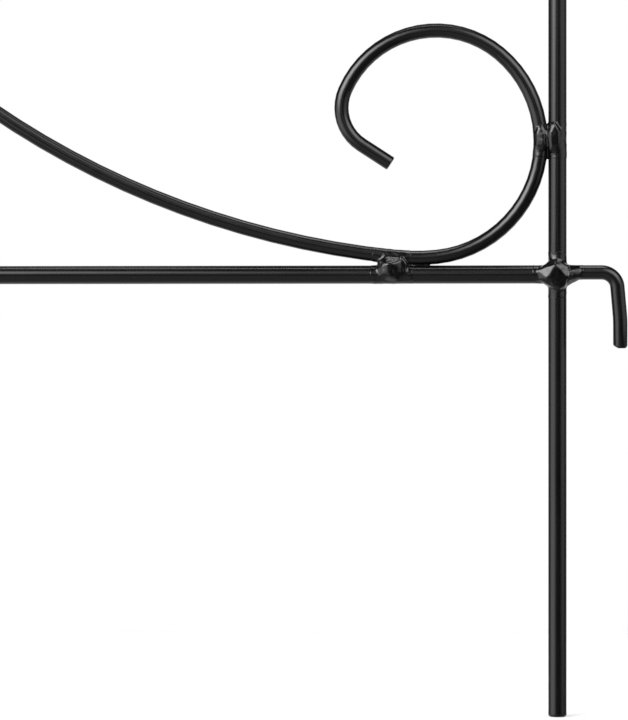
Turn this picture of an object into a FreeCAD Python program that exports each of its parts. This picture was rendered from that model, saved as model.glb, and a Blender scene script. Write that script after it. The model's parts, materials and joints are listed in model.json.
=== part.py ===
"""Three linked bays of a low garden edging fence, welded from round steel rod and wire.

Each bay is a flat panel: two legs that are pushed into the soil, two rails between them,
and a pair of S-shaped scrolls that cross in the middle. Hooks on a bay's right leg drop
into wire eyes on the left leg of the bay beside it, so that the fence can turn corners.

Frame: millimetres, +X along the fence towards its free hooks, +Z up, front side to -Y.
The origin is the centre of the lower end face of the first bay's right leg.
"""

import FreeCAD
import Part

import math
import os

# Stock, measured over the powder coat
ROD_DIAMETER = 8.1
WIRE_DIAMETER = 6.4

# Bays and legs
BAY_COUNT = 3
LEG_SPACING = 610.0
LOWER_RAIL_HEIGHT = 195.0
RAIL_SPACING = 237.0
LEG_HEAD = 30.0
LEG_END_ROUND = 1.2

# Scroll: a wide sweep runs into a foot on the rail, then a loop, a crown, a curl and a tail.
# The loop is as high as leaves a gap to the loop above it, and each bend after it is tighter.
LOOP_GAP = 15.0
FOOT_RADIUS = 87.5
FOOT_SWEEP_ANGLE = 5.8
FOOT_LOOP_ANGLE = 5.9
LOOP_ANGLE = 134.0
CROWN_TIGHTENING = 0.857
CROWN_ANGLE = 106.5
CURL_TIGHTENING = 0.383
CURL_ANGLE = 80.5
TAIL_LENGTH = 15.5
TAIL_END_ROUND = 0.7

# Hooks on the right leg: an arm, a bend down, a shank that leans out and a plumb tip
HOOK_ARM_REACH = 19.4
HOOK_BEND_CLEARANCE = 0.6
HOOK_LEAN = 5.0
HOOK_LEAN_LENGTH = 11.8
HOOK_TIP_RADIUS = 60.0
HOOK_TIP_LENGTH = 10.1
HOOK_END_ROUND = 0.6

# Eyes on the left leg
EYE_BORE = 10.0
EYE_SEAT_GAP = 0.3

# Welds: lumps of weld metal that reach out along the rods. A corner weld has four points,
# which leave a web in each corner, and the others have six.
ROOT_GAP = 0.1
WELD_SEAT_GAP = 0.25
CORNER_WELD_REACH = 10.6
CORNER_WELD_DEPTH = 5.4
TACK_WELD_REACH = 7.4
TACK_WELD_DEPTH = 5.8
FOOT_WELD_OFFSET = 10.6
EYE_WELD_REACH = 5.8
EYE_WELD_DEPTH = 4.8
WELD_CORE = 3.6
WELD_POINT_ROUNDNESS = 0.36
WELD_RIM_ROUNDNESS = 0.34
CORNER_WELD_POINTS = 4
TACK_WELD_POINTS = 6

# Sizes that follow
ROD_RADIUS = ROD_DIAMETER / 2
WIRE_RADIUS = WIRE_DIAMETER / 2
LEG_LENGTH = LOWER_RAIL_HEIGHT + RAIL_SPACING + LEG_HEAD
RAIL_HEIGHTS = {"lower": LOWER_RAIL_HEIGHT, "upper": LOWER_RAIL_HEIGHT + RAIL_SPACING}
HOOK_RISE = ROD_RADIUS - WIRE_RADIUS
HOOK_BEND_RADIUS = WIRE_DIAMETER + HOOK_BEND_CLEARANCE
EYE_RADIUS = EYE_BORE / 2 + WIRE_RADIUS
EYE_TO_LEG = ROD_RADIUS + ROOT_GAP + WIRE_RADIUS + EYE_RADIUS
HOOK_TO_EYE = HOOK_ARM_REACH + EYE_RADIUS
EYE_DROP = WIRE_DIAMETER + EYE_SEAT_GAP - HOOK_RISE
BAY_PITCH = LEG_SPACING + EYE_TO_LEG + HOOK_TO_EYE
BAY_CENTRE = FreeCAD.Vector(-LEG_SPACING / 2, 0, LOWER_RAIL_HEIGHT + RAIL_SPACING / 2)

ALONG = FreeCAD.Vector(1, 0, 0)
DEPTH = FreeCAD.Vector(0, 1, 0)
UP = FreeCAD.Vector(0, 0, 1)


class BentWire:
    """A wire bent in the plane of the fence, drawn from its start by straights and bends."""

    def __init__(self, x, z, heading):
        self.point = FreeCAD.Vector(x, 0, z)
        self.start = self.point
        self.heading = heading
        self.start_heading = heading
        self.edges = []

    def ahead(self, distance, heading):
        angle = math.radians(heading)
        step = FreeCAD.Vector(math.cos(angle), 0, math.sin(angle)) * distance
        return self.point + step

    def straight(self, length):
        end = self.ahead(length, self.heading)
        self.edges.append(Part.makeLine(self.point, end))
        self.point = end

    def bend(self, radius, angle):
        """Turns by angle in degrees, anticlockwise as seen from the front when positive."""
        side = math.copysign(90, angle)
        centre = self.ahead(radius, self.heading + side)
        on_arc = []
        for share in (0.5, 1.0):
            turned = math.radians(self.heading - side + angle * share)
            spoke = FreeCAD.Vector(math.cos(turned), 0, math.sin(turned)) * radius
            on_arc.append(centre + spoke)
        self.edges.append(Part.Arc(self.point, *on_arc).toShape())
        self.point = on_arc[1]
        self.heading += angle

    def solid(self, end_round):
        """The wire as a solid whose cut at the far end has its edge broken."""
        pipe = self.grown(0)
        flat = [f for f in pipe.Faces if isinstance(f.Surface, Part.Plane)]
        far_end = min(flat, key=lambda f: f.CenterOfMass.distanceToPoint(self.point))
        return pipe.makeFillet(end_round, far_end.Edges)

    def grown(self, gap):
        """The wire with the gap added all round, to cut its seat out of a weld."""
        angle = math.radians(self.start_heading)
        along = FreeCAD.Vector(math.cos(angle), 0, math.sin(angle))
        circle = Part.makeCircle(WIRE_RADIUS + gap, self.start, along)
        return Part.Wire(self.edges).makePipe(Part.Face(Part.Wire(circle)))


def lump(x, z, reach, depth, points):
    """A pillow of weld metal, centred in the fence's plane at x and z, with rounded points."""
    corners = []
    for number in range(points + 1):
        angle = math.radians(number * 360 / points)
        spoke = FreeCAD.Vector(math.cos(angle), 0, math.sin(angle)) * reach
        corners.append(FreeCAD.Vector(x, -depth, z) + spoke)
    prism = Part.Face(Part.makePolygon(corners)).extrude(DEPTH * (2 * depth))
    upright = [e for e in prism.Edges if abs(e.tangentAt(e.FirstParameter).y) > 0.5]
    prism = prism.makeFillet(WELD_POINT_ROUNDNESS * reach, upright)
    rims = [e for e in prism.Edges if e.BoundBox.YLength < depth]
    return prism.makeFillet(WELD_RIM_ROUNDNESS * reach, rims)


def leg(x):
    rod = Part.makeCylinder(ROD_RADIUS, LEG_LENGTH, FreeCAD.Vector(x, 0, 0), UP)
    ends = [e for e in rod.Edges if isinstance(e.Curve, Part.Circle)]
    return rod.makeFillet(LEG_END_ROUND, ends)


def rail(height, gap=0):
    """A rail between the legs, or with a gap the shape that cuts its seat in a weld."""
    length = LEG_SPACING - ROD_DIAMETER - 2 * ROOT_GAP
    start = FreeCAD.Vector(-ROD_RADIUS - ROOT_GAP - length, 0, height)
    return Part.makeCylinder(ROD_RADIUS + gap, length, start, ALONG)


def loop_radius():
    """The radius at which two loops, one above the other, keep the gap between them."""
    foot_height = ROD_RADIUS + ROOT_GAP + WIRE_RADIUS
    crown_height = (RAIL_SPACING - LOOP_GAP) / 2 - WIRE_RADIUS
    foot_end = math.cos(math.radians(FOOT_LOOP_ANGLE))
    loop_end = math.cos(math.radians(FOOT_LOOP_ANGLE + LOOP_ANGLE))
    rise = crown_height - foot_height - FOOT_RADIUS * (1 - foot_end)
    return rise / (foot_end - loop_end + CROWN_TIGHTENING * (1 + loop_end))


def scroll_foot():
    """Where the lower right scroll rests on the rail, as x and z."""
    foot_turn = math.sin(math.radians(FOOT_LOOP_ANGLE))
    loop_reach = FOOT_RADIUS * foot_turn + loop_radius() * (1 - foot_turn)
    x = -ROD_RADIUS - ROOT_GAP - WIRE_RADIUS - loop_reach
    return x, LOWER_RAIL_HEIGHT + ROD_RADIUS + ROOT_GAP + WIRE_RADIUS


def sweep_start():
    """Where the sweep leaves the foot, as x and z."""
    x, z = scroll_foot()
    turn = math.radians(FOOT_SWEEP_ANGLE)
    return x - FOOT_RADIUS * math.sin(turn), z + FOOT_RADIUS * (1 - math.cos(turn))


def sweep_radius():
    """The radius that takes the sweep from the foot to the middle of the bay."""
    x, z = sweep_start()
    turn = math.radians(FOOT_SWEEP_ANGLE)
    across, rise = BAY_CENTRE.x - x, BAY_CENTRE.z - z
    towards_centre = across * math.sin(turn) + rise * math.cos(turn)
    return (across ** 2 + rise ** 2) / (2 * towards_centre)


def sweep_angle():
    """How far the sweep turns between the foot and the middle of the bay, in degrees."""
    x, z = sweep_start()
    chord = math.hypot(BAY_CENTRE.x - x, BAY_CENTRE.z - z)
    return 2 * math.degrees(math.asin(chord / (2 * sweep_radius())))


def half_scroll_wire(gap):
    """The lower right half of a scroll, from the middle of the bay to the tip of its tail.

    It starts short of the middle by the gap, measured along the wire.
    """
    radius = sweep_radius()
    skipped = math.degrees(gap / radius)
    heading = -FOOT_SWEEP_ANGLE - sweep_angle() + skipped
    turn = math.radians(FOOT_SWEEP_ANGLE)
    x, z = sweep_start()
    centre_x, centre_z = x + radius * math.sin(turn), z + radius * math.cos(turn)
    down = math.radians(heading)
    wire = BentWire(
        centre_x + radius * math.sin(down), centre_z - radius * math.cos(down), heading
    )
    wire.bend(radius, sweep_angle() - skipped)
    wire.bend(FOOT_RADIUS, FOOT_SWEEP_ANGLE + FOOT_LOOP_ANGLE)
    wire.bend(loop_radius(), LOOP_ANGLE)
    wire.bend(loop_radius() * CROWN_TIGHTENING, CROWN_ANGLE)
    wire.bend(loop_radius() * CURL_TIGHTENING, CURL_ANGLE)
    wire.straight(TAIL_LENGTH)
    return wire


def turned_half(shape):
    """The same piece, turned half round in the fence's plane about the middle of the bay."""
    other = shape.copy()
    other.rotate(BAY_CENTRE, DEPTH, 180)
    return other


def whole_scroll():
    """One wire: lower right loop, sweep through the middle, upper left loop."""
    half = half_scroll_wire(0).solid(TAIL_END_ROUND)
    return half.fuse(turned_half(half))


def cut_scroll_wire():
    """A half scroll that is cut square where it meets the whole scroll at the crossing."""
    crossing = math.radians(180 - 2 * (FOOT_SWEEP_ANGLE + sweep_angle()))
    reach = WIRE_RADIUS * (1 + abs(math.cos(crossing))) / math.sin(crossing)
    return half_scroll_wire(reach + ROOT_GAP)


def cut_scroll():
    """Two half scrolls, one from either side of the whole scroll."""
    lower_left = cut_scroll_wire().solid(TAIL_END_ROUND).mirror(BAY_CENTRE, ALONG)
    return [lower_left, turned_half(lower_left)]


def hook_wire(rail_height):
    start = ROD_RADIUS + ROOT_GAP
    wire = BentWire(start, rail_height + HOOK_RISE, 0)
    wire.straight(HOOK_ARM_REACH - start)
    wire.bend(HOOK_BEND_RADIUS, HOOK_LEAN - 90)
    wire.straight(HOOK_LEAN_LENGTH)
    wire.bend(HOOK_TIP_RADIUS, -HOOK_LEAN)
    wire.straight(HOOK_TIP_LENGTH)
    return wire


def eye(rail_height, gap=0):
    """A closed ring, or with a gap the shape that cuts its seat in a weld."""
    centre = FreeCAD.Vector(-LEG_SPACING - EYE_TO_LEG, 0, rail_height - EYE_DROP)
    return Part.makeTorus(EYE_RADIUS, WIRE_RADIUS + gap, centre, UP)


def seats():
    """Every rod and wire of a bay, grown by the gap that a weld keeps from it."""
    gap = WELD_SEAT_GAP
    right = Part.makeCylinder(ROD_RADIUS + gap, LEG_LENGTH)
    left = Part.makeCylinder(ROD_RADIUS + gap, LEG_LENGTH, FreeCAD.Vector(-LEG_SPACING, 0, 0))
    half = half_scroll_wire(0).grown(gap)
    cut_half = cut_scroll_wire().grown(gap).mirror(BAY_CENTRE, ALONG)
    found = [right, left, half, turned_half(half), cut_half, turned_half(cut_half)]
    for height in RAIL_HEIGHTS.values():
        found += [rail(height, gap), hook_wire(height).grown(gap), eye(height, gap)]
    return found


def seated(weld, rods):
    """The solids of a weld that are left between and around the rods near it."""
    for rod in rods:
        if rod.BoundBox.intersect(weld.BoundBox):
            weld = weld.cut(rod)
    return weld.Solids


def front_and_back(weld):
    """A weld without its core, where two rods that touch leave only a thin crack."""
    box = weld.BoundBox
    corner = FreeCAD.Vector(box.XMin, -WELD_CORE / 2, box.ZMin)
    core = Part.makeBox(box.XLength, WELD_CORE, box.ZLength, corner)
    return weld.cut(core).Solids


def tack_weld(x, z):
    return lump(x, z, TACK_WELD_REACH, TACK_WELD_DEPTH, TACK_WELD_POINTS)


def tack_welds(x, z, rods):
    """A lump on the front and one on the back of two rods that touch at x and z."""
    found = []
    for side in front_and_back(tack_weld(x, z)):
        found += seated(side, rods)
    return found


def corner_welds(rods):
    """Where a rail meets each leg. On the left leg the lump takes in the foot of the eye."""
    found = []
    for height in RAIL_HEIGHTS.values():
        sizes = CORNER_WELD_REACH, CORNER_WELD_DEPTH, CORNER_WELD_POINTS
        right, left = lump(0, height, *sizes), lump(-LEG_SPACING, height, *sizes)
        eye_foot = -LEG_SPACING - ROD_RADIUS, height - EYE_DROP
        left = left.fuse(lump(*eye_foot, EYE_WELD_REACH, EYE_WELD_DEPTH, TACK_WELD_POINTS))
        found += seated(right, rods) + seated(left, rods)
    return found


def scroll_welds(rods):
    """Each loop's welds on its rail and on its leg, set out from the lower right loop."""
    foot_x, foot_z = scroll_foot()
    foot_turn = math.radians(FOOT_LOOP_ANGLE)
    rise = FOOT_RADIUS * (1 - math.cos(foot_turn)) + loop_radius() * math.cos(foot_turn)
    places = [
        (foot_x - FOOT_WELD_OFFSET, LOWER_RAIL_HEIGHT + ROD_RADIUS),
        (-ROD_RADIUS, foot_z + rise),
    ]
    found = []
    for x, z in places:
        for side in (1, -1):
            for level in (1, -1):
                place_x = BAY_CENTRE.x + side * (x - BAY_CENTRE.x)
                place_z = BAY_CENTRE.z + level * (z - BAY_CENTRE.z)
                found += tack_welds(place_x, place_z, rods)
    return found


def centre_weld(rods):
    """Where the two halves of the cut scroll meet the whole scroll."""
    return seated(tack_weld(BAY_CENTRE.x, BAY_CENTRE.z), rods)


def bay():
    """The named pieces of one bay, each a list of one or more solids."""
    rods = seats()
    pieces = {
        "right_leg": [leg(0)],
        "left_leg": [leg(-LEG_SPACING)],
        "scroll": [whole_scroll()],
        "cut_scroll": cut_scroll(),
        "corner_welds": corner_welds(rods),
        "scroll_welds": scroll_welds(rods),
        "centre_weld": centre_weld(rods),
    }
    for level, height in RAIL_HEIGHTS.items():
        pieces[level + "_rail"] = [rail(height)]
        pieces[level + "_hook"] = [hook_wire(height).solid(HOOK_END_ROUND)]
        pieces[level + "_eye"] = [eye(height)]
    return pieces


def main():
    os.makedirs("parts", exist_ok=True)
    for name, solids in bay().items():
        for number in range(1, BAY_COUNT + 1):
            placed = [solid.copy() for solid in solids]
            for solid in placed:
                solid.translate(ALONG * (-(number - 1) * BAY_PITCH))
            shape = placed[0] if len(placed) == 1 else Part.makeCompound(placed)
            shape.exportStep(f"parts/bay_{number}_{name}.step")


main()
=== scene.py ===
"""Three linked bays of a garden edging fence, coated and lit as on a white studio table.

Metres, +X along the fence towards its free hooks, +Z up, front side to -Y. The camera looks
at the lower right corner of the first bay, from straight in front.
"""

import json
import math

import bmesh
import bpy
from mathutils import Matrix, Vector, noise

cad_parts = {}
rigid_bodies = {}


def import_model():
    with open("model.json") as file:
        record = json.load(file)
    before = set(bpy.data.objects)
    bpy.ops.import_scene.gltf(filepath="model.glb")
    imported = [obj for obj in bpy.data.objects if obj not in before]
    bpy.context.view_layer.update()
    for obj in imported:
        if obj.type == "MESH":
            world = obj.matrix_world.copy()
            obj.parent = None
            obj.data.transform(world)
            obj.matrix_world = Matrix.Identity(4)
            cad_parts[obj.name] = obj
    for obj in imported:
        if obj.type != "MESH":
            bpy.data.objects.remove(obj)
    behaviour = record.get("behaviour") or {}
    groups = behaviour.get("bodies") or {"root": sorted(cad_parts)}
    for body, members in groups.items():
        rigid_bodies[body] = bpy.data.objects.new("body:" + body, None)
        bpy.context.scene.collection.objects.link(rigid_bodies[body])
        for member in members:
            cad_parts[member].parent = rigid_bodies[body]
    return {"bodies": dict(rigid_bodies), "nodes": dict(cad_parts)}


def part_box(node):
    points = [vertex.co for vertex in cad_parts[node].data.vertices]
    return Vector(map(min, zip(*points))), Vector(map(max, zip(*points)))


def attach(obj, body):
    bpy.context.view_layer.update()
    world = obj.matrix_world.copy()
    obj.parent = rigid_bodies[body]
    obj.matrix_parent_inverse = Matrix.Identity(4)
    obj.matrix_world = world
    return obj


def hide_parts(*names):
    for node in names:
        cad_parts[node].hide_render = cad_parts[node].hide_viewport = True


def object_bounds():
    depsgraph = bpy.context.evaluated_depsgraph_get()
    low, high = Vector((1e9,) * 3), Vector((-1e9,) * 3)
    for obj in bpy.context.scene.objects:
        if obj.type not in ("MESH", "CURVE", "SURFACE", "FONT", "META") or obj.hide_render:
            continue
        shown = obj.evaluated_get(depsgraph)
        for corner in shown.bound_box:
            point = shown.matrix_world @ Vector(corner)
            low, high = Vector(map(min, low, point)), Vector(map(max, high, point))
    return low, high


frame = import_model()
cad_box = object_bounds()
scene = bpy.context.scene
scene.view_settings.view_transform = "Standard"
MM = 0.001

# Camera
# A long lens straight in front of the panel, a little below the lower rail and slightly to
# the right of the middle of what it sees, so that all upright rods look upright.
IMAGE_HEIGHT = 720
FOCAL_LENGTH = 3400
SENSOR = 36
TARGET = Vector((-107.48, 0, 157.24)) * MM
CAMERA_DISTANCE = 1504.8 * MM
CAMERA_TURN = 3.0

lens = bpy.data.cameras.new("lens")
lens.sensor_width = SENSOR
lens.lens = SENSOR * FOCAL_LENGTH / IMAGE_HEIGHT
lens.clip_end = 100
camera = bpy.data.objects.new("camera", lens)
camera.matrix_world = (
    Matrix.Translation(TARGET)
    @ Matrix.Rotation(math.radians(CAMERA_TURN), 4, "Z")
    @ Matrix.Rotation(math.radians(90), 4, "X")
    @ Matrix.Translation((0, 0, CAMERA_DISTANCE))
)
scene.collection.objects.link(camera)
scene.camera = camera

# Studio
# A white table and sheet, which the eye sees as plain white on all sides. The coat's gloss
# sees the sheet behind and below the fence, and in front a dim room with a grey floor that is
# darker on the right. It doesn't see the table. Each lamp is brightest in its middle.
SHEET_EDGE = 0.55
SHEET_FULL = 0.97
ROOM_LEVEL = 0.02
FLOOR_LEFT_LEVEL = 0.4
FLOOR_RIGHT_LEVEL = 0.1
FLOOR_LEFT = -0.05
FLOOR_RIGHT = 0.35
FLOOR_FULL = -0.35
FLOOR_EDGE = -0.05
LOW_SHEET_LEVEL = 0.75
LOW_SHEET_FRONT = -0.3
LOW_SHEET_BACK = 0.3
LOW_SHEET_FULL = -0.3
LOW_SHEET_EDGE = -0.1
FILL_LEVEL = 0.3
TABLE_SIZE = 8.0
TABLE_COLOUR = "#E8E8E8"
TABLE_GLOW = 0.06
TABLE_NEAR = 0.25
TABLE_FAR = 0.6
TABLE_FRONT = -160 * MM
TABLE_FRONT_FADE = 120 * MM
LAMP_AIM = 250 * MM
LAMP_DISTANCE = 2.4
LAMP_CORE = 0.25


def linear(hex_colour):
    """An sRGB colour written as #RRGGBB, as the linear RGBA that shaders take."""
    channels = []
    for start in (1, 3, 5):
        value = int(hex_colour[start:start + 2], 16) / 255
        channels.append(value / 12.92 if value <= 0.04045 else ((value + 0.055) / 1.055) ** 2.4)
    return (*channels, 1.0)


def add(tree, kind, inputs=None, **settings):
    """Adds a node. Settings are its properties; inputs are values or other nodes' outputs."""
    node = tree.nodes.new(kind)
    for name, value in settings.items():
        setattr(node, name, value)
    for socket, value in (inputs or {}).items():
        if isinstance(value, bpy.types.NodeSocket):
            tree.links.new(value, node.inputs[socket])
        else:
            node.inputs[socket].default_value = value
    return node


world = bpy.data.worlds.new("studio")
scene.world = world
world.use_nodes = True
tree = world.node_tree
tree.nodes.clear()
rays = add(tree, "ShaderNodeLightPath")
way = add(tree, "ShaderNodeTexCoord")
direction = add(tree, "ShaderNodeSeparateXYZ", {0: way.outputs["Generated"]})
floor = add(
    tree, "ShaderNodeMapRange",
    {"Value": direction.outputs["X"], "From Min": FLOOR_LEFT, "From Max": FLOOR_RIGHT,
     "To Min": FLOOR_LEFT_LEVEL, "To Max": FLOOR_RIGHT_LEVEL},
)
room = add(
    tree, "ShaderNodeMapRange",
    {"Value": direction.outputs["Z"], "From Min": FLOOR_FULL, "From Max": FLOOR_EDGE,
     "To Min": floor.outputs["Result"], "To Max": ROOM_LEVEL},
)
sheet = add(
    tree, "ShaderNodeMapRange",
    {"Value": direction.outputs["Y"], "From Min": SHEET_EDGE, "From Max": SHEET_FULL},
    interpolation_type="SMOOTHSTEP",
)
depth = add(
    tree, "ShaderNodeMapRange",
    {"Value": direction.outputs["Z"], "From Min": LOW_SHEET_FULL, "From Max": LOW_SHEET_EDGE,
     "To Min": LOW_SHEET_LEVEL, "To Max": 0.0},
)
low_sheet = add(
    tree, "ShaderNodeMapRange",
    {"Value": direction.outputs["Y"], "From Min": LOW_SHEET_FRONT, "From Max": LOW_SHEET_BACK,
     "To Max": depth.outputs["Result"]},
)
upper = add(
    tree, "ShaderNodeMath", {0: sheet.outputs["Result"], 1: room.outputs["Result"]},
    operation="MAXIMUM",
)
studio = add(
    tree, "ShaderNodeMath", {0: upper.outputs[0], 1: low_sheet.outputs["Result"]},
    operation="MAXIMUM",
)
mirrored = add(
    tree, "ShaderNodeMath",
    {0: rays.outputs["Is Glossy Ray"], 1: rays.outputs["Is Transmission Ray"]},
    operation="MAXIMUM",
)
for_gloss = add(
    tree, "ShaderNodeMix",
    {0: mirrored.outputs[0], 2: FILL_LEVEL, 3: studio.outputs[0]},
)
strength = add(
    tree, "ShaderNodeMix",
    {0: rays.outputs["Is Camera Ray"], 2: for_gloss.outputs[0], 3: 1.0},
)
glow = add(
    tree, "ShaderNodeBackground",
    {"Color": linear("#FFFFFF"), "Strength": strength.outputs[0]},
)
add(tree, "ShaderNodeOutputWorld", {"Surface": glow.outputs[0]})

table_paint = bpy.data.materials.new("matt white table")
table_paint.use_nodes = True
tree = table_paint.node_tree
tree.nodes.clear()
rays = add(tree, "ShaderNodeLightPath")
place = add(tree, "ShaderNodeTexCoord")
middle = (cad_box[0] + cad_box[1]) / 2
length = cad_box[1].x - cad_box[0].x
oval = add(
    tree, "ShaderNodeMapping",
    {"Vector": place.outputs["Object"], "Scale": (TABLE_NEAR / length, 1, 1),
     "Location": (-middle.x * TABLE_NEAR / length, 0, 0)},
)
reach = add(
    tree, "ShaderNodeVectorMath", {0: oval.outputs[0]}, operation="LENGTH"
)
far = add(
    tree, "ShaderNodeMapRange",
    {"Value": reach.outputs["Value"], "From Min": TABLE_NEAR, "From Max": TABLE_FAR},
    interpolation_type="SMOOTHSTEP",
)
spot = add(tree, "ShaderNodeSeparateXYZ", {0: place.outputs["Object"]})
front = add(
    tree, "ShaderNodeMapRange",
    {"Value": spot.outputs["Y"], "From Min": TABLE_FRONT, "To Min": 1.0, "To Max": 0.0,
     "From Max": TABLE_FRONT + TABLE_FRONT_FADE},
    interpolation_type="SMOOTHSTEP",
)
edge = add(
    tree, "ShaderNodeMath", {0: far.outputs["Result"], 1: front.outputs["Result"]},
    operation="MAXIMUM",
)
gone = add(
    tree, "ShaderNodeMath", {0: edge.outputs[0], 1: rays.outputs["Is Glossy Ray"]},
    operation="MAXIMUM",
)
glow_share = add(
    tree, "ShaderNodeMapRange",
    {"Value": rays.outputs["Is Camera Ray"], "To Min": 0.0, "To Max": TABLE_GLOW},
)
matt = add(tree, "ShaderNodeBsdfDiffuse", {"Color": linear(TABLE_COLOUR)})
shine = add(tree, "ShaderNodeEmission", {"Strength": glow_share.outputs["Result"]})
near_table = add(tree, "ShaderNodeAddShader", {0: matt.outputs[0], 1: shine.outputs[0]})
clear = add(tree, "ShaderNodeBsdfTransparent")
whole_table = add(
    tree, "ShaderNodeMixShader",
    {0: gone.outputs[0], 1: near_table.outputs[0], 2: clear.outputs[0]},
)
add(tree, "ShaderNodeOutputMaterial", {"Surface": whole_table.outputs[0]})


def new_object(name, mesh_maker, material):
    """An object at the origin whose mesh is what the maker leaves in the bmesh it is given."""
    mesh = bpy.data.meshes.new(name)
    shape = bmesh.new()
    mesh_maker(shape)
    shape.to_mesh(mesh)
    shape.free()
    made = bpy.data.objects.new(name, mesh)
    made.data.materials.append(material)
    scene.collection.objects.link(made)
    return made


table = new_object(
    "table",
    lambda shape: bmesh.ops.create_grid(shape, x_segments=1, y_segments=1, size=TABLE_SIZE / 2),
    table_paint,
)


def softbox(name, azimuth, elevation, width, height, level, distance=LAMP_DISTANCE):
    """A soft lamp that faces the corner of the fence and fades from its middle to its edges.

    Azimuth is counted from straight in front towards the camera's left, and the level is how
    bright the middle of the box looks, where white paper is 1.
    """
    lamp = bpy.data.lights.new(name, "AREA")
    lamp.shape = "RECTANGLE"
    lamp.size = width
    lamp.size_y = height
    lamp.energy = 4 * width * height * level
    lamp.use_nodes = True
    tree = lamp.node_tree
    tree.nodes.clear()
    spot = add(tree, "ShaderNodeNewGeometry")
    from_middle = add(
        tree, "ShaderNodeMapping",
        {"Vector": spot.outputs["Parametric"], "Location": (-1, -1, 0), "Scale": (2, 2, 0)},
    )
    reach = add(tree, "ShaderNodeVectorMath", {0: from_middle.outputs[0]}, operation="LENGTH")
    fade = add(
        tree, "ShaderNodeMapRange",
        {"Value": reach.outputs["Value"], "From Min": LAMP_CORE, "To Min": 1.0, "To Max": 0.0},
    )
    beam = add(tree, "ShaderNodeEmission", {"Strength": fade.outputs["Result"]})
    add(tree, "ShaderNodeOutputLight", {"Surface": beam.outputs[0]})
    holder = bpy.data.objects.new(name, lamp)
    holder.matrix_world = (
        Matrix.Translation((TARGET.x, 0, LAMP_AIM))
        @ Matrix.Rotation(math.radians(-azimuth), 4, "Z")
        @ Matrix.Rotation(math.radians(-elevation), 4, "X")
        @ Matrix.Translation((0, -distance, 0))
        @ Matrix.Rotation(math.radians(90), 4, "X")
    )
    holder.visible_camera = False
    scene.collection.objects.link(holder)


softbox("left_lamp", azimuth=43, elevation=27, width=3.6, height=2.4, level=7.2)
softbox("left_fill", azimuth=63, elevation=-7, width=5.2, height=2.8, level=1.4)
softbox("right_lamp", azimuth=-45, elevation=36, width=3.4, height=2.6, level=3.3)
softbox("right_fill", azimuth=-72, elevation=5, width=4.0, height=2.2, level=0.75)
softbox("front_fill", azimuth=0, elevation=12, width=1.4, height=1.4, level=0.45)
softbox("top_strip", azimuth=180, elevation=87, width=1.4, height=1.0, level=4.4, distance=1.5)

# Rods
# Legs and rails are cold drawn steel rod, powder coated black after welding. The baked coat
# is satin, and lies in a faint orange peel over the long lines that drawing left in the rod.
COAT_COLOUR = "#060606"
COAT_ROUGHNESS = 0.19
COAT_IOR = 1.5
LESS_ROUGH = 0.03
MORE_ROUGH = 0.04
PEEL_SIZE = 1.4 * MM
PEEL_DEPTH = 0.003 * MM
LINE_WIDTH = 3.0 * MM
LINE_LENGTH = 40 * MM
LINE_DEPTH = 0.02 * MM


def powder_coat(name, roughness, stretch):
    """Baked black powder; stretch is how long its waves are along X, Y and Z."""
    coat = bpy.data.materials.new(name)
    coat.use_nodes = True
    tree = coat.node_tree
    tree.nodes.clear()
    place = add(tree, "ShaderNodeTexCoord")
    waves_place = add(
        tree, "ShaderNodeMapping",
        {"Vector": place.outputs["Object"], "Scale": [1 / size for size in stretch]},
    )
    waves = add(
        tree, "ShaderNodeTexNoise",
        {"Vector": waves_place.outputs[0], "Scale": 1.0, "Detail": 2.0},
    )
    peel = add(
        tree, "ShaderNodeTexNoise",
        {"Vector": place.outputs["Object"], "Scale": 1 / PEEL_SIZE, "Detail": 1.0},
    )
    long_bumps = add(
        tree, "ShaderNodeBump", {"Height": waves.outputs[0], "Distance": LINE_DEPTH}
    )
    bumps = add(
        tree, "ShaderNodeBump",
        {"Height": peel.outputs[0], "Distance": PEEL_DEPTH, "Normal": long_bumps.outputs[0]},
    )
    gloss = add(
        tree, "ShaderNodeMapRange",
        {"Value": waves.outputs[0], "From Min": 0.3, "From Max": 0.7,
         "To Min": roughness - LESS_ROUGH, "To Max": roughness + MORE_ROUGH},
    )
    surface = add(
        tree, "ShaderNodeBsdfPrincipled",
        {"Base Color": linear(COAT_COLOUR), "IOR": COAT_IOR,
         "Roughness": gloss.outputs["Result"], "Normal": bumps.outputs[0]},
    )
    add(tree, "ShaderNodeOutputMaterial", {"Surface": surface.outputs[0]})
    return coat


def dress(node, material):
    part = frame["nodes"][node]
    part.data.materials.clear()
    part.data.materials.append(material)


leg_coat = powder_coat(
    "satin black powder coat on legs", COAT_ROUGHNESS, (LINE_WIDTH, LINE_WIDTH, LINE_LENGTH)
)
rail_coat = powder_coat(
    "satin black powder coat on rails", COAT_ROUGHNESS, (LINE_LENGTH, LINE_WIDTH, LINE_WIDTH)
)
BAYS = sorted(frame["bodies"])
for bay in BAYS:
    for side in ("right", "left"):
        dress(f"{bay}_{side}_leg", leg_coat)
    for level in ("lower", "upper"):
        dress(f"{bay}_{level}_rail", rail_coat)

# Wires
# Scrolls, hooks and eyes are bent from thinner wire, coated together with the rods.
WAVE_SIZE = 6 * MM
wire_coat = powder_coat("satin black powder coat on wires", COAT_ROUGHNESS, (WAVE_SIZE,) * 3)
for bay in BAYS:
    for piece in ("scroll", "cut_scroll", "lower_eye", "upper_eye"):
        dress(f"{bay}_{piece}", wire_coat)

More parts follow.
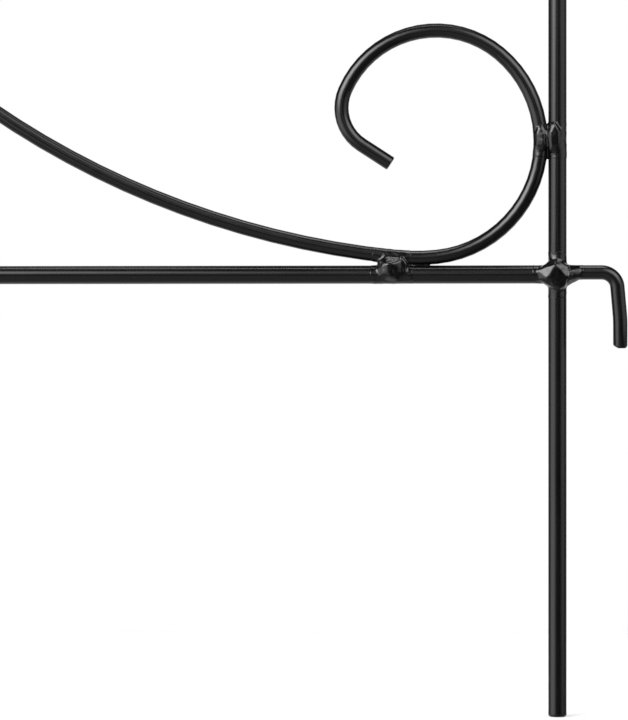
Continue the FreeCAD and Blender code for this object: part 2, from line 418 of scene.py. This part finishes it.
# Hooks
# A hook leaves the corner level, bends down past the eye that it holds, and was sheared off,
# which slanted its end on the side of the leg. All in millimetres from the corner; a stretch
# is its length, turn in degrees and steps, a ring of the end is its distance and radius.
WIRE_RADIUS = 3.2
HOOK_START = (4.15, 0.85)
HOOK_STRETCHES = (
    (0.2, 0, 1), (15.04, 0, 1), (10.385, -85, 24), (11.8, 0, 1), (5.236, -5, 6), (9.5, 0, 1),
)
HOOK_END = ((0.42, 3.03), (0.6, 2.6), (0.6, 1.5), (0.6, 0.8))
RING_POINTS = 48
SLANT_START = -0.9
SLANT_SLOPE = 0.54
ROUND_START = 1.8
ROUND_CURVE = 0.45


def middle_of(node):
    """Where the middle of a CAD piece lies along X and in height."""
    low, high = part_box(node)
    return (low.x + high.x) / 2, (low.z + high.z) / 2


def sheared(across):
    """How much shorter the hook is at a distance across its end, away from the leg."""
    if across < SLANT_START:
        return (SLANT_START - across) * SLANT_SLOPE
    return max(across - ROUND_START, 0) ** 2 * ROUND_CURVE


def hook_wire(shape):
    """The wire of a hook, ring by ring from the leg to its end."""
    (x, z), heading = HOOK_START, 0.0
    rings = [(x, z, heading, WIRE_RADIUS)]
    for length, turn, steps in HOOK_STRETCHES:
        for _ in range(steps):
            heading += math.radians(turn) / steps / 2
            x += math.cos(heading) * length / steps
            z += math.sin(heading) * length / steps
            heading += math.radians(turn) / steps / 2
            rings.append((x, z, heading, WIRE_RADIUS))
    straight_rings = len(rings) - 1
    rings += [(x, z - reach, heading, radius) for reach, radius in HOOK_END]
    loops = []
    for number, (x, z, heading, radius) in enumerate(rings):
        loop = []
        for point in range(RING_POINTS):
            angle = math.tau * point / RING_POINTS
            across = radius * math.cos(angle)
            up = sheared(across) if number >= straight_rings else 0
            spot = (x - across * math.sin(heading), radius * math.sin(angle),
                    z + across * math.cos(heading) + up)
            loop.append(shape.verts.new(Vector(spot) * MM))
        loops.append(loop)
    for one, two in zip(loops, loops[1:]):
        for point in range(RING_POINTS):
            after = (point + 1) % RING_POINTS
            face = shape.faces.new((one[point], one[after], two[after], two[point]))
            face.smooth = True
    shape.faces.new(loops[0])
    shape.faces.new(loops[-1])
    bmesh.ops.recalc_face_normals(shape, faces=shape.faces)


for bay in BAYS:
    leg_x, _ = middle_of(f"{bay}_right_leg")
    for level in ("lower", "upper"):
        _, rail_z = middle_of(f"{bay}_{level}_rail")
        hook = new_object(f"{bay}_{level}_hook_wire", hook_wire, wire_coat)
        hook.data.transform(Matrix.Translation((leg_x, 0, rail_z)))
        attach(hook, bay)
        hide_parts(f"{bay}_{level}_hook")

# Welds
# Drops of weld metal where rods meet. Each is a few flat faces that the arc left, melted into
# both rods and softened by the powder, which lies thicker there and is glossier.
WELD_GRAIN = 0.4 * MM
WELD_SOFTENING = 12
WELD_SKIN = 0.08
RIPPLE_SIZE = 2.4 * MM
RIPPLE_DEPTH = 0.16 * MM
RIPPLE_SHIFTS = (0.0, 31.7, 74.3)
WELD_WAVE_SIZE = 2 * MM
ROD_RADIUS = 4.05
STUB_POINTS = 64
weld_coat = powder_coat(
    "thick black powder coat on welds", COAT_ROUGHNESS - LESS_ROUGH, (WELD_WAVE_SIZE,) * 3
)


def drop(shape, corners):
    """Adds the tight skin round some corners, in millimetres, and their mirror images in Y."""
    points = []
    for x, y, z in corners:
        points += [shape.verts.new(Vector((x, side * y, z)) * MM) for side in (1, -1)]
    hull = bmesh.ops.convex_hull(shape, input=points)
    spare = set(hull["geom_interior"] + hull["geom_unused"])
    spare = [item for item in spare if isinstance(item, bmesh.types.BMVert)]
    bmesh.ops.delete(shape, geom=spare, context="VERTS")


def stub(shape, radius, *path):
    """Adds a short piece of rod along a path of x and z in millimetres."""
    for (x1, z1), (x2, z2) in zip(path, path[1:]):
        start, end = Vector((x1, 0, z1)) * MM, Vector((x2, 0, z2)) * MM
        turn = (end - start).to_track_quat("Z", "Y").to_matrix().to_4x4()
        thick = (radius + WELD_SKIN) * MM
        bmesh.ops.create_cone(
            shape, cap_ends=True, segments=STUB_POINTS, radius1=thick, radius2=thick,
            depth=(end - start).length, matrix=Matrix.Translation((start + end) / 2) @ turn,
        )


def melted(maker):
    """The mesh of what the maker builds, melted into one skin and softened."""
    rough = new_object("rough weld", maker, weld_coat)
    melt = rough.modifiers.new("melt", "REMESH")
    melt.mode = "VOXEL"
    melt.voxel_size = WELD_GRAIN
    soften = rough.modifiers.new("soften", "SMOOTH")
    soften.iterations = WELD_SOFTENING
    ready = rough.evaluated_get(bpy.context.evaluated_depsgraph_get())
    mesh = bpy.data.meshes.new_from_object(ready)
    bpy.data.objects.remove(rough)
    return mesh


def right_corner(shape):
    """The leg, the rail from the left and the hook's arm to the right, as in the photograph."""
    stub(shape, ROD_RADIUS, (0, -11), (0, 10.5))
    stub(shape, ROD_RADIUS, (-11.5, 0), (0, 0))
    stub(shape, WIRE_RADIUS, (0, 0.85), (12, 0.85))
    drop(shape, (
        (-0.8, -6.4, 4.2), (-4.9, -6.2, -1.6), (-4.0, -5.4, -4.6), (0.2, -5.9, -6.8),
        (3.4, -5.4, -4.6), (4.2, -6.0, -1.4), (-9.3, -4.0, 1.4), (-9.2, -3.2, -2.0),
        (-4.9, -3.4, 4.9), (-4.6, -0.6, 4.9), (-3.4, -3.2, 6.1), (-1.4, -4.2, 6.5),
        (0.0, -4.1, 6.9),
        (4.2, -4.2, 4.0), (4.4, -0.6, 4.6), (5.0, -3.2, 0.5), (4.5, -0.6, -5.0),
        (3.0, -3.2, -6.4), (0.3, -4.1, -7.4), (-3.4, -2.2, -5.9), (-4.9, -0.6, -4.6),
        (-7.0, -2.8, -3.2),
    ))
    drop(shape, (
        (5.0, -6.2, 1.4), (5.2, -6.2, -1.0), (5.0, -5.2, -2.8), (5.0, -3.8, 4.0),
        (4.4, -0.6, 4.4), (8.8, -1.6, 3.9), (9.9, -2.9, 2.6), (10.4, -3.3, 0.2),
        (9.5, -2.8, -1.6), (9.3, -0.6, -2.6), (4.4, -0.6, -5.2), (4.4, -3.0, -4.2),
    ))


def left_corner(shape):
    """The leg, the rail from the right and the wire of the eye on the left."""
    stub(shape, ROD_RADIUS, (0, -12), (0, 10.5))
    stub(shape, ROD_RADIUS, (0, 0), (11.5, 0))
    drop(shape, (
        (1.1, -6.2, 4.4), (4.6, -6.2, -1.2), (-0.8, -6.0, -5.6), (-3.9, -5.6, 0.6),
        (9.2, -4.0, 0.4), (9.0, -2.4, 3.2), (4.7, -0.6, 5.0), (0.3, -4.0, 7.6),
        (-4.3, -0.6, 5.0), (-5.2, -1.4, 0), (-4.6, -0.6, -6.4), (0.2, -4.0, -8.0),
        (5.4, -0.6, -5.0), (9.0, -2.6, -3.3),
    ))
    drop(shape, (
        (-4.4, -4.7, -3.4), (-6.9, -4.2, -4.6), (-6.6, -4.4, -7.6), (-4.0, -4.8, -8.6),
        (-1.6, -4.4, -5.8), (-5.4, -1.2, -0.6), (-8.4, -2.4, -3.6), (-8.2, -2.2, -8.6),
        (-4.6, -1.2, -11.0),
    ))


def rail_weld(shape):
    """Where the sweep of a scroll comes down on the rail, measured from the corner."""
    stub(shape, ROD_RADIUS, (-83, 0), (-63.5, 0))
    stub(shape, WIRE_RADIUS, (-82, 9.05), (-76.5, 8.4), (-71, 7.8), (-64, 7.37))
    drop(shape, (
        (-74.6, -6.6, 4.6), (-72.8, -6.6, 4.7), (-74.0, -6.4, -0.6), (-73.0, -6.3, -0.8),
        (-77.2, -5.6, 3.6), (-77.4, -5.5, 0.4), (-80.2, -3.0, 0.7), (-79.0, -3.0, 6.4),
        (-77.0, -2.8, 8.6), (-70.4, -2.8, 8.4), (-70.2, -5.6, 5.4), (-70.4, -5.4, 0.8),
        (-67.8, -4.2, 5.6), (-67.6, -3.6, 0.8), (-70.0, -3.4, -2.2), (-73.0, -4.0, -2.6),
        (-78.0, -3.4, -2.0),
    ))
    drop(shape, (
        (-67.6, -4.6, 6.6), (-66.2, -4.3, 4.6), (-67.4, -4.6, 1.4), (-69.2, -4.6, 7.6),
        (-65.8, -2.4, 4.4), (-67.0, -2.4, 1.2), (-69.0, -2.4, 8.0), (-69.4, -2.4, 1.0),
    ))
    drop(shape, ((-68, -1.3, 3.6), (-68, -1.3, 4.6), (-56, -1.3, 3.6), (-56, -1.3, 4.5)))


def leg_weld(shape):
    """Where the loop of a scroll touches the leg, measured from the corner."""
    stub(shape, ROD_RADIUS, (0, 50.5), (0, 67.5))
    stub(shape, WIRE_RADIUS, (-7.9, 51), (-7.35, 58.5), (-7.7, 64.5), (-7.9, 66))
    drop(shape, (
        (-6.2, -4.5, 62.0), (-6.2, -4.5, 57.0), (-9.6, -3.4, 61.6), (-9.5, -3.4, 57.2),
        (-8.8, -3.8, 64.6), (-6.6, -3.4, 65.8), (-4.2, -3.0, 63.0), (-4.2, -3.0, 56.0),
        (-6.8, -3.2, 54.2), (-8.8, -2.6, 55.2),
    ))
    drop(shape, (
        (-2.8, -5.6, 62.4), (-1.0, -5.6, 66.2), (0.4, -5.3, 62.8), (0.6, -5.2, 57.0),
        (-2.6, -5.3, 56.2), (-4.6, -4.2, 61.8), (-3.2, -4.2, 66.4), (-3.8, -4.4, 57.0),
        (-1.0, -4.3, 66.8), (1.7, -4.0, 62.6), (1.5, -4.0, 57.4), (-0.4, -4.3, 54.0),
        (-3.4, -4.0, 53.8), (-4.6, -2.6, 61.8), (-4.4, -2.6, 57.0),
    ))


def middle_weld(shape):
    """Where the scrolls cross."""
    drop(shape, (
        (-2.6, -6.1, 1.5), (1.4, -6.3, 2.4), (2.3, -6.0, -1.4), (-1.2, -6.2, -2.5),
        (-7.2, -1.6, 0.8), (-5.2, -2.4, 4.6), (0.4, -2.2, 6.0), (5.4, -2.2, 4.2),
        (7.4, -1.6, -0.4), (4.6, -2.4, -4.4), (-0.6, -2.0, -6.1), (-5.8, -2.2, -3.8),
    ))


def ripple(spot):
    """How a weld's skin waves at a spot, along X, Y and Z, the same each time it is asked."""
    waves = [noise.noise(spot / RIPPLE_SIZE + Vector((shift, 0, 0))) for shift in RIPPLE_SHIFTS]
    return Vector(waves) * RIPPLE_DEPTH


def weld_piece(node, body, parts):
    """One piece for a node's welds, from pairs of a mesh and its place, that rides on a body."""

    def fill(shape):
        for mesh, place in parts:
            first_vert, first_face = len(shape.verts), len(shape.faces)
            shape.from_mesh(mesh)
            shape.verts.ensure_lookup_table()
            shape.faces.ensure_lookup_table()
            bmesh.ops.transform(shape, matrix=place, verts=shape.verts[first_vert:])
            if place.determinant() < 0:
                bmesh.ops.reverse_faces(shape, faces=shape.faces[first_face:])
        for vert in shape.verts:
            vert.co += ripple(vert.co)
        for face in shape.faces:
            face.smooth = True

    made = new_object(node + "_metal", fill, weld_coat)
    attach(made, body)
    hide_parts(node)


right_mesh, left_mesh = melted(right_corner), melted(left_corner)
on_rail, on_leg, crossing = melted(rail_weld), melted(leg_weld), melted(middle_weld)
for bay in BAYS:
    corners, touches, legs, rails = [], [], [], []
    for side, mesh, mirror in (("right", right_mesh, 1), ("left", left_mesh, -1)):
        leg_x, _ = middle_of(f"{bay}_{side}_leg")
        legs.append(leg_x)
        for level, turn in (("lower", 1), ("upper", -1)):
            _, rail_z = middle_of(f"{bay}_{level}_rail")
            rails.append(rail_z)
            corner = Matrix.Translation((leg_x, 0, rail_z))
            corners.append((mesh, corner))
            flip = corner @ Matrix.Diagonal((mirror, 1, turn, 1))
            touches += [(on_rail, flip), (on_leg, flip)]
    centre = Matrix.Translation((sum(legs) / 2, 0, sum(rails) / 4))
    weld_piece(f"{bay}_corner_welds", bay, corners)
    weld_piece(f"{bay}_scroll_welds", bay, touches)
    weld_piece(f"{bay}_centre_weld", bay, [(crossing, centre)])
